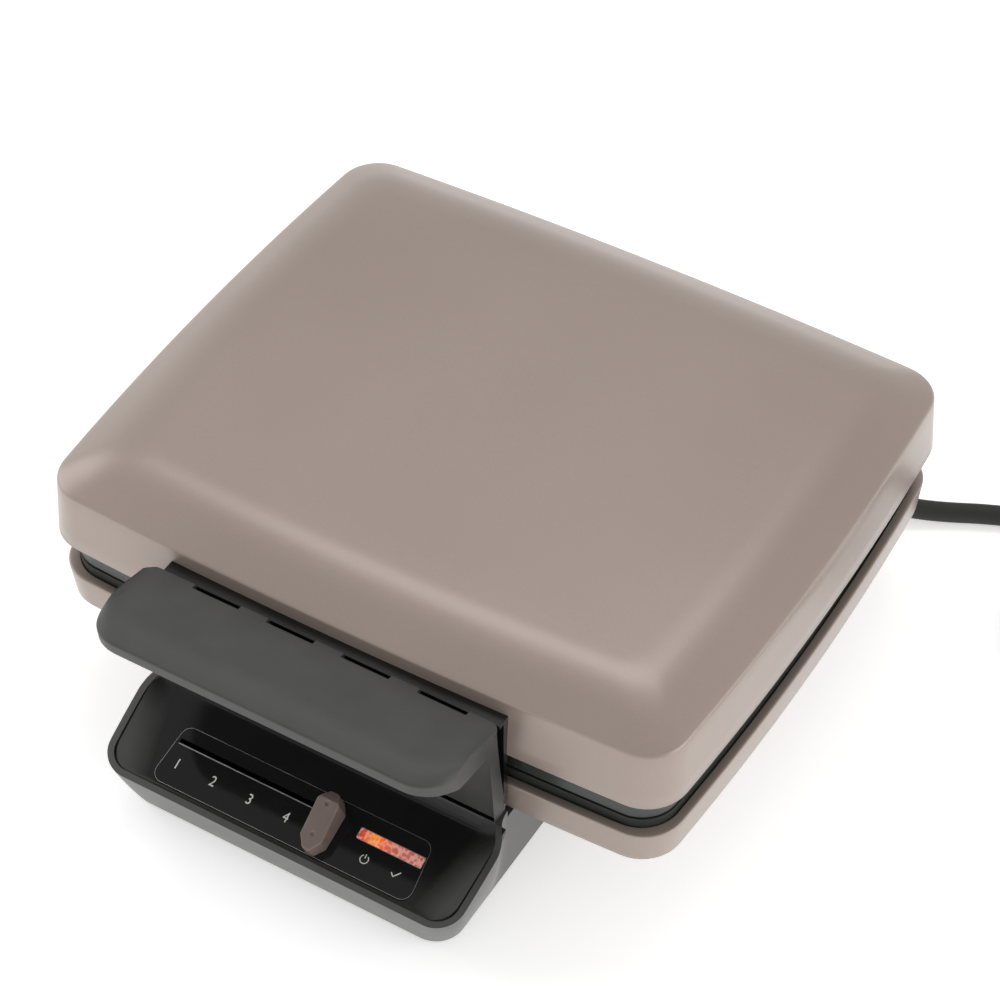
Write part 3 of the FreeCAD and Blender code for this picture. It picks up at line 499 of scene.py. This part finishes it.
def addPiece(name, shape, finish, body, replaced=(), sharp=32.0):
    points, faces = shape
    mesh = bpy.data.meshes.new(name)
    mesh.from_pydata([tuple(c * mm for c in p) for p in points], [], faces)
    work = bmesh.new()
    work.from_mesh(mesh)
    bmesh.ops.remove_doubles(work, verts=work.verts, dist=0.000002)
    bmesh.ops.recalc_face_normals(work, faces=work.faces)
    work.to_mesh(mesh)
    work.free()
    mesh.shade_smooth()
    mesh.set_sharp_from_angle(angle=math.radians(sharp))
    mesh.materials.append(finishes[finish])
    piece = bpy.data.objects.new(name, mesh)
    bpy.context.scene.collection.objects.link(piece)
    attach(piece, body)
    if replaced:
        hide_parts(*replaced)
    return piece


# lid
lidSettings = {
    "bottom": 67.0, "crease": 92.0, "flare": 1.3, "sheet": 1.2, "creaseRadius": 1.8,
    "crownRise": 9.6, "crownReach": 28.5, "crownStraight": 8.5, "plateauDome": 0.25,
    "crownSteps": (2.2, 4.2, 6.4, 8.5, 10.5, 12.5, 14.5, 16.5, 18.5, 20.5, 22.5, 24.5, 26.5, 28.5),
}


def crownHeight(s, inset):
    # a straight slope by the crease, then an even curve into the plateau
    straight, reach = s["crownStraight"], s["crownReach"]
    slope = s["crownRise"] / ((straight + reach) / 2)
    past = min(max(inset - straight, 0.0), reach - straight)
    return s["crease"] + slope * (min(inset, straight) + past - past ** 2 / (2 * (reach - straight)))


def makeLid(s):
    rings = []
    top = s["crease"] + s["crownRise"]
    for share in (0.3, 0.6, 0.85):
        rings.append(bodyRing(bodyPlan, s["crownReach"], top - s["sheet"], share))
    for inset in s["crownSteps"][::-1]:
        rings.append(bodyRing(bodyPlan, inset + s["sheet"], crownHeight(s, inset) - s["sheet"]))
    rings.append(bodyRing(bodyPlan, s["sheet"], s["crease"] - s["sheet"]))
    inner = s["sheet"] - s["flare"]
    rings.append(bodyRing(bodyPlan, inner, s["bottom"] + 0.4))
    rings.append(bodyRing(bodyPlan, inner - 0.2, s["bottom"] + 0.08))
    rings.append(bodyRing(bodyPlan, inner - 0.45, s["bottom"]))
    rings.append(bodyRing(bodyPlan, 0.45 - s["flare"], s["bottom"]))
    rings.append(bodyRing(bodyPlan, 0.2 - s["flare"], s["bottom"] + 0.08))
    rings.append(bodyRing(bodyPlan, 0.03 - s["flare"], s["bottom"] + 0.4))
    for share in (0.25, 0.5, 0.75, 0.94):
        z = s["bottom"] + (s["crease"] - s["bottom"]) * share
        rings.append(bodyRing(bodyPlan, 0.03 - s["flare"] * (1 - share), z))
    radius = s["creaseRadius"]
    for degrees in (0, 13, 26, 39, 52, 65):
        angle = math.radians(degrees)
        inset = 0.03 + radius * (1 - math.cos(angle))
        rings.append(bodyRing(bodyPlan, inset, s["crease"] - 1.15 + radius * math.sin(angle)))
    for inset in s["crownSteps"]:
        rings.append(bodyRing(bodyPlan, inset, crownHeight(s, inset)))
    for share in (0.9, 0.75, 0.6, 0.45, 0.3, 0.15):
        rise = s["plateauDome"] * (1 - share ** 2)
        rings.append(bodyRing(bodyPlan, s["crownReach"], top + rise, share))
    return addPiece("lidCover", loft(rings, fans=True), "body_lacquer", "lid", ["lid_cover"], 40.0)


makeLid(lidSettings)
print("lid made")

# lower shell
shellSettings = {"bottom": 34.5, "rim": 50.0, "bevel": 1.6, "lip": 3.4, "sheet": 1.2}


def makeLowerShell(s):
    low, rim, lip = s["bottom"], s["rim"], s["lip"]
    steps = [(8.0, low), (3.6, low), (3.0, low + 0.1), (2.6, low + 0.35), (1.5, low + s["bevel"] - 0.2),
             (1.2, low + s["bevel"] + 0.2), (1.05, low + 3.5), (0.6, low + 9.0), (0.12, rim - 0.9),
             (0.14, rim - 0.45), (0.27, rim - 0.15), (0.55, rim), (1.4, rim), (lip - 0.3, rim),
             (lip - 0.08, rim - 0.1), (lip, rim - 0.35), (lip, rim - 1.1), (lip - 0.4, rim - s["sheet"]),
             (1.5, rim - s["sheet"] - 0.1), (2.2, low + 4.0), (3.4, low + s["sheet"] + 0.4),
             (5.0, low + s["sheet"]), (8.0, low + s["sheet"])]
    rings = [bodyRing(bodyPlan, 8.0, low, share) for share in (0.5, 0.8)]
    rings += [bodyRing(bodyPlan, inset, z) for inset, z in steps]
    rings += [bodyRing(bodyPlan, 8.0, low + s["sheet"], share) for share in (0.8, 0.5)]
    return addPiece("lowerShell", loft(rings, fans=True), "body_lacquer", "base", ["lower_shell"], 40.0)


makeLowerShell(shellSettings)
print("lower shell made")

# handle
handleSettings = {
    "half": 71.1, "shift": -1.9, "frontCorner": 14.0, "rearCorner": 4.5, "front": -137.6, "tilt": 0.21,
    "pivot": -104.0,     # the wing is drawn in from here where its corners are rounded
    "endEdge": 1.3, "draft": 0.016, "low": 39.1, "wingLow": 89.0,
    "openings": [-42.55, -12.05, 18.45, 48.95], "openingHalf": 9.6,
    "profile": [(-96.4, 87.55, 0.5), (-128.5, 94.29, 26.0), (-137.5, 92.9, 0.9), (-136.9, 86.9, 1.8),
                (-103.2, 80.98, 10.0), (-98.4, 39.1, 0.6), (-93.8, 39.1, 0.4), (-93.8, 84.8, 0.4),
                (-96.2, 84.8, 0.3)],
    "openProfile": {0: (-98.7, 88.03, 0.5), 7: (-93.8, 79.9, 0.4), 8: (-98.7, 79.9, 0.3)},
}


def handleStations(s):
    # (x, how far the end edge is drawn in, whether an opening is cut here)
    right = []
    for degrees in (0, 15, 30, 45, 60, 75, 90):
        angle = math.radians(degrees)
        right.append((s["half"] - s["endEdge"] * (1 - math.cos(angle)),
                      s["endEdge"] * (1 - math.sin(angle)), False))
    base = s["half"] - s["frontCorner"]
    for degrees in (62, 56, 50, 44, 38, 30, 22, 14, 7, 0):
        x = base + s["frontCorner"] * math.sin(math.radians(degrees))
        right.append((x, 0.0, False))
    stations = [(-x, inset, False) for x, inset, cut in right] + right[::-1]
    for middle in s["openings"]:
        half = s["openingHalf"]
        stations = [(x, inset, cut or abs(x - middle) < half) for x, inset, cut in stations]
        for side in (-1, 1):
            edge = middle + side * half
            stations += [(edge, 0.0, True), (edge + side * 0.02, 0.0, False)]
    return sorted(stations)


def handleRing(s, x, inset, cut):
    corners = list(s["profile"])
    if cut:
        for i, corner in s["openProfile"].items():
            corners[i] = corner
    path = roundedPath(corners, 7)
    count = len(path)
    distance = abs(x) - (s["half"] - s["frontCorner"])
    front = s["front"]
    if distance > 0:
        front += s["frontCorner"] - math.sqrt(max(s["frontCorner"] ** 2 - distance ** 2, 0.0))
    squeeze = (front - s["pivot"]) / (s["front"] - s["pivot"])
    distance = abs(x) - (s["half"] - s["rearCorner"])
    rear = -90.0
    if distance > 0:
        rear = -96.4 - s["rearCorner"] + math.sqrt(max(s["rearCorner"] ** 2 - distance ** 2, 0.0))
    ring = []
    for i, (y, z) in enumerate(path):
        if inset > 0:
            ahead, behind = path[(i + 1) % count], path[i - 1]
            normal = Vector((ahead[1] - behind[1], behind[0] - ahead[0]))
            if normal.length > 0:
                normal.normalize()
                y, z = y + normal.x * inset, z + normal.y * inset
        if y < s["pivot"]:
            moved = s["pivot"] + (y - s["pivot"]) * squeeze
            z -= s["tilt"] * (moved - y)
            y = moved
        if z > 82.0 and y > rear:
            z -= s["tilt"] * (rear - y) * 0.5
            y = rear
        narrow = s["draft"] * max(1 - (z - s["low"]) / (s["wingLow"] - s["low"]), 0.0)
        ring.append((x * (1 - narrow) + s["shift"], y, z))
    return ring


def makeHandle(s):
    rings = [handleRing(s, *station) for station in handleStations(s)]
    return addPiece("handleGrip", loft(rings), "black_moulding", "lid", ["handle_grip"], 30.0)


makeHandle(handleSettings)
print("handle made")

# console flanks: the hollow that leads from the floor up to the rim on both sides and the front
flankSettings = {
    "half": 70.7, "front": -135.6, "corner": 9.0, "rear": -98.9,
    "widen": 1.021,     # the rim's inside is wider at the rear
    "innerRear": 63.5, "innerFront": 55.2, "innerEnd": -134.0, "innerCorner": 3.5,
    "rimFront": -138.0, "rimHeight": 21.05, "rimSlope": 0.41, "rimMost": 37.2,
    "hollow": 2.2, "above": 0.03, "thick": 1.5, "rimThick": 2.0, "steps": 9,
}
floorSettings = {"frontY": -135.4, "frontZ": 21.0, "slope": 0.38, "wallY": -98.4, "fillet": 8.0,
                 "slotY": -118.0}
floorLean = math.atan(floorSettings["slope"])


def floorHeight(s, y):
    plain = s["frontZ"] + s["slope"] * (y - s["frontY"])
    turn = math.pi / 2 - floorLean
    corner = s["frontZ"] + s["slope"] * (s["wallY"] - s["frontY"])
    middleY = s["wallY"] - s["fillet"]
    middleZ = corner + s["fillet"] * math.tan(turn / 2)
    if y < middleY + s["fillet"] * math.sin(floorLean):
        return plain
    return middleZ - math.sqrt(max(s["fillet"] ** 2 - (y - middleY) ** 2, 0.0))


def onPanel(x, v, w):
    # a point measured along the sloping floor from the slider's slot, and up from it
    s = floorSettings
    slotZ = s["frontZ"] + s["slope"] * (s["slotY"] - s["frontY"])
    y = s["slotY"] + v * math.cos(floorLean) - w * math.sin(floorLean)
    return (x, y, slotZ + v * math.sin(floorLean) + w * math.cos(floorLean))


def flankLine(half, frontHalf, rear, front, corner):
    # half of a U in plan, from the rear of the left side to the middle of the front
    line = []
    for k in range(15):
        share = k / 14
        line.append((-half + (half - frontHalf) * share, rear + (front + corner - rear) * share))
    middle = (corner - frontHalf, front + corner)
    line += arcPoints(middle, corner, math.pi, 1.5 * math.pi, 9)[1:]
    line += [((corner - frontHalf) * (1 - k / 6), front) for k in range(1, 7)]
    return line + [(-x, y) for x, y in line[-2::-1]]


def makeFlanks(s):
    outer = flankLine(s["half"] * s["widen"], s["half"], s["rear"], s["front"], s["corner"])
    inner = flankLine(s["innerRear"], s["innerFront"], s["rear"], s["innerEnd"], s["innerCorner"])
    rings = []
    for (x, y), (innerX, innerY) in zip(outer, inner):
        rim = min(s["rimHeight"] + s["rimSlope"] * (y - s["rimFront"]), s["rimMost"])
        rise = rim - floorHeight(floorSettings, y)
        ring = []
        for k in range(s["steps"] + 1):
            share = k / s["steps"]
            px, py = x + (innerX - x) * share, y + (innerY - y) * share
            floor = floorHeight(floorSettings, py) + s["above"]
            ring.append((px, py, floor + rise * (1 - share) ** s["hollow"]))
        ring.append((ring[-1][0], ring[-1][1], ring[-1][2] - s["thick"]))
        ring.append((ring[0][0], ring[0][1], min(ring[-1][2], ring[0][2] - s["rimThick"])))
        rings.append(ring)
    flanks = addPiece("consoleFlanks", loft(rings), "console_black", "base", sharp=35.0)
    flanks.data.materials[0] = flankBlack()


makeFlanks(flankSettings)
print("console flanks made")

# panel edge and slot edge as bright steel lines, painted highlights; numerals and signs
panelSettings = {
    "halfRear": 51.5, "halfFront": 53.8, "rear": 6.1, "front": -16.4, "corner": 4.0,
    "edgeHighlightWidth": 0.2, "edgeHighlightRise": 0.2, "slotLeft": -50.9, "slotRight": 17.3, "slotFront": -1.02,
    "numeralX": [-47.1, -31.8, -16.3, -1.0], "numeralV": -8.2, "numeralHeight": 3.9,
    "signV": -9.2, "powerX": 32.0, "readyX": 44.5, "signSize": 1.55, "inkRise": 0.14, "inkDepth": 0.06,
}


def bead(name, path, width, low, high, finish, closed):
    # a fine raised line along a path on the panel
    rings = []
    count = len(path)
    for i, (x, v) in enumerate(path):
        if closed:
            ahead, behind = path[(i + 1) % count], path[i - 1]
        else:
            ahead, behind = path[min(i + 1, count - 1)], path[max(i - 1, 0)]
        way = Vector((ahead[0] - behind[0], ahead[1] - behind[1])).normalized() * (width / 2)
        side = (-way.y, way.x)
        section = ((1.0, low), (0.6, high), (-0.6, high), (-1.0, low))
        rings.append([onPanel(x + side[0] * out, v + side[1] * out, w) for out, w in section])
    if not closed:
        return addPiece(name, loft(rings), finish, "base")
    points = [p for ring in rings for p in ring]
    faces = []
    for a in range(count):
        b = (a + 1) % count
        faces += [(a * 4 + i, a * 4 + (i + 1) % 4, b * 4 + (i + 1) % 4, b * 4 + i) for i in range(4)]
    return addPiece(name, (points, faces), finish, "base")


def makeNumeral(s, text, x):
    data = bpy.data.curves.new("numeral" + text, "FONT")
    data.body = text
    data.size = s["numeralHeight"] * 1.42 * mm
    data.align_x, data.align_y = "CENTER", "CENTER"
    data.extrude = s["inkDepth"] * mm / 2
    holder = bpy.data.objects.new("numeralText", data)
    holder.rotation_euler = (floorLean, 0, 0)
    holder.location = [c * mm for c in onPanel(x, s["numeralV"], s["inkRise"])]
    holder.scale = (0.86, 1.0, 1.0)
    bpy.context.scene.collection.objects.link(holder)
    bpy.context.view_layer.update()
    mesh = bpy.data.meshes.new_from_object(holder.evaluated_get(bpy.context.evaluated_depsgraph_get()))
    mesh.transform(holder.matrix_world)
    bpy.data.objects.remove(holder)
    mesh.materials.clear()
    mesh.materials.append(finishes["terminal_white"])
    piece = bpy.data.objects.new("numeral" + text, mesh)
    bpy.context.scene.collection.objects.link(piece)
    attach(piece, "base")


def makePanelMarks(s):
    corners = ((-s["halfFront"], s["front"]), (s["halfFront"], s["front"]),
               (s["halfRear"], s["rear"]), (-s["halfRear"], s["rear"]))
    outline = roundedPath([(x, v, s["corner"]) for x, v in corners], 8)
    # a bright steel bead round the panel insert: a painted highlight along the panel's edge
    bead("panelEdgeHighlight", outline, s["edgeHighlightWidth"], 0.0, s["edgeHighlightRise"], "screw_steel", True)
    edge = [(s["slotLeft"] + (s["slotRight"] - s["slotLeft"]) * k / 24, s["slotFront"]) for k in range(25)]
    # a bright steel line along the slot's front edge: a painted highlight on the slot's edge
    bead("slotEdgeHighlight", edge, 0.5, 0.02, 0.2, "screw_steel", False)
    for text, x in zip("1234", s["numeralX"]):
        makeNumeral(s, text, x)
    size, rise = s["signSize"], s["inkRise"]
    turn = [(s["powerX"] + size * math.sin(a), s["signV"] + size * math.cos(a))
            for a in [math.radians(35 + 290 * k / 28) for k in range(29)]]
    bead("powerRing", turn, 0.42, rise - 0.06, rise, "terminal_white", False)
    stroke = [(s["powerX"], s["signV"] + size * (0.2 + 1.0 * k / 4)) for k in range(5)]
    bead("powerStroke", stroke, 0.42, rise - 0.06, rise, "terminal_white", False)
    tick = [(-1.5, 0.1), (-0.9, -0.5), (-0.35, -1.05), (0.3, -0.35), (1.0, 0.5), (1.7, 1.35)]
    bead("readyTick", [(s["readyX"] + u, s["signV"] + v) for u, v in tick], 0.45, rise - 0.06, rise,
         "terminal_white", False)


makePanelMarks(panelSettings)
print("panel marks made")

# indicator window: a clear ribbed lens that glows from the two lamps behind it
windowSettings = {"x": 38.5, "halfX": 13.0, "front": -3.6, "rear": 0.4, "ribs": 21, "low": -1.3, "top": 0.12,
                  "ribDepth": 0.28, "trimGap": 0.1, "trimCorner": 0.5}


def makeWindow(s):
    rings = []
    count = s["ribs"] * 6
    for k in range(count + 1):
        x = s["x"] - s["halfX"] + 2 * s["halfX"] * k / count
        fall = s["ribDepth"] * (0.5 - 0.5 * math.cos(2 * math.pi * k / 6))
        rings.append([onPanel(x, s["front"], s["low"]), onPanel(x, s["front"], s["top"] - fall),
                      onPanel(x, s["front"] + 0.25, s["top"] - fall + 0.05),
                      onPanel(x, s["rear"] - 0.25, s["top"] - fall + 0.05),
                      onPanel(x, s["rear"], s["top"] - fall), onPanel(x, s["rear"], s["low"])])
    addPiece("indicatorWindow", loft(rings), "window_clear", "base", ["indicator_window"], 50.0)
    reach, gap = s["halfX"] + s["trimGap"], s["trimGap"]
    corners = ((s["x"] - reach, s["front"] - gap), (s["x"] + reach, s["front"] - gap),
               (s["x"] + reach, s["rear"] + gap), (s["x"] - reach, s["rear"] + gap))
    edge = roundedPath([(x, v, s["trimCorner"]) for x, v in corners], 4)
    bead("windowTrim", edge, 0.3, 0.0, 0.26, "screw_steel", True)


makeWindow(windowSettings)
print("window made")

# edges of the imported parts, each softened by its own radius in millimetres
edgeSettings = {
    "upper_frame": 0.5, "lower_frame": 0.5, "handle_bracket": 0.35, "base_housing": 0.5,
    "control_panel": 0.15,
    "hinge_arm_left": 0.4, "hinge_arm_right": 0.4, "hinge_bracket_left": 0.4, "hinge_bracket_right": 0.4,
    "hinge_pin_left": 0.3, "hinge_pin_right": 0.3, "hinge_arm_screws": 0.3, "upper_grid_plate": 0.5,
    "lower_grid_plate": 0.5, "upper_grid_pegs": 0.7, "lower_grid_pegs": 0.7, "feet": 0.3, "base_plate": 0.4,
    "slider_knob": 0.5, "plug_body": 0.6, "cord_protector": 0.3, "base_screws": 0.2,
}
smoothed = ["console_fascia", "plug_pins", "power_lamp", "ready_lamp", "upper_heating_element",
            "lower_heating_element", "terminal_block", "inner_wires", "cord_tail", "slider_rail"]


def softenEdges():
    for name in list(edgeSettings) + smoothed:
        node = frame["nodes"][name]
        node.data.shade_smooth()
        node.data.set_sharp_from_angle(angle=math.radians(28))
        if name in edgeSettings:
            bevel = node.modifiers.new("edge", "BEVEL")
            bevel.width = edgeSettings[name] * mm
            bevel.segments = 3
            bevel.limit_method = "ANGLE"
            bevel.angle_limit = math.radians(35)
            bevel.harden_normals = True


softenEdges()
print("edges softened")

# stage
stageSettings = {"size": 6.0, "floorShade": 0.9, "floorGlow": 0.46, "glowLow": 0.86, "glowHigh": 0.45}


def makeStage(s):
    mesh = bpy.data.meshes.new("floor")
    half = s["size"] / 2
    corners = [(-half, -half, 0), (half, -half, 0), (half, half, 0), (-half, half, 0)]
    mesh.from_pydata(corners, [], [(0, 1, 2, 3)])
    floor = bpy.data.objects.new("floor", mesh)
    bpy.context.scene.collection.objects.link(floor)
    shader = Shader("paleFloor")
    shade = (s["floorShade"],) * 3
    mesh.materials.append(shader.finish({}, {"Base Color": shade, "Roughness": 0.8,
                                             "Emission Color": (1.0, 1.0, 1.0),
                                             "Emission Strength": s["floorGlow"]}))
    # light walls, a dimmer ceiling
    studio = Shader("studio", "Background")
    direction = studio.node("ShaderNodeTexCoord", out="Generated")
    height = studio.node("ShaderNodeSeparateXYZ", {}, {0: direction}, out="Z")
    glow = studio.between(height, 0.0, 1.0, s["glowLow"], s["glowHigh"])
    bpy.context.scene.world = studio.finish({"Strength": glow}, {"Color": (1.0, 1.0, 1.0)})
    bpy.context.scene.view_settings.view_transform = "Standard"


def softbox(name, place, aim, size, power):
    data = bpy.data.lights.new(name, "AREA")
    data.shape = "RECTANGLE"
    data.size, data.size_y = size
    data.energy = power
    light = bpy.data.objects.new(name, data)
    light.location = place
    light.rotation_mode = "QUATERNION"
    light.rotation_quaternion = (Vector(aim) - Vector(place)).to_track_quat("-Z", "Y")
    bpy.context.scene.collection.objects.link(light)


makeStage(stageSettings)
softbox("boxAbove", (-0.25, 0.55, 1.5), (0, 0, 0.05), (1.2, 0.4), 5.0)
softbox("boxLeft", (-1.3, -0.1, 0.7), (0, 0, 0.05), (1.0, 0.8), 5.0)
softbox("boxFront", (0.15, -1.3, 0.42), (0, -0.1, 0.03), (1.0, 0.3), 0.9)
softbox("boxRight", (1.4, 0.2, 0.6), (0, 0, 0.05), (1.0, 0.8), 6.0)
print("stage set")
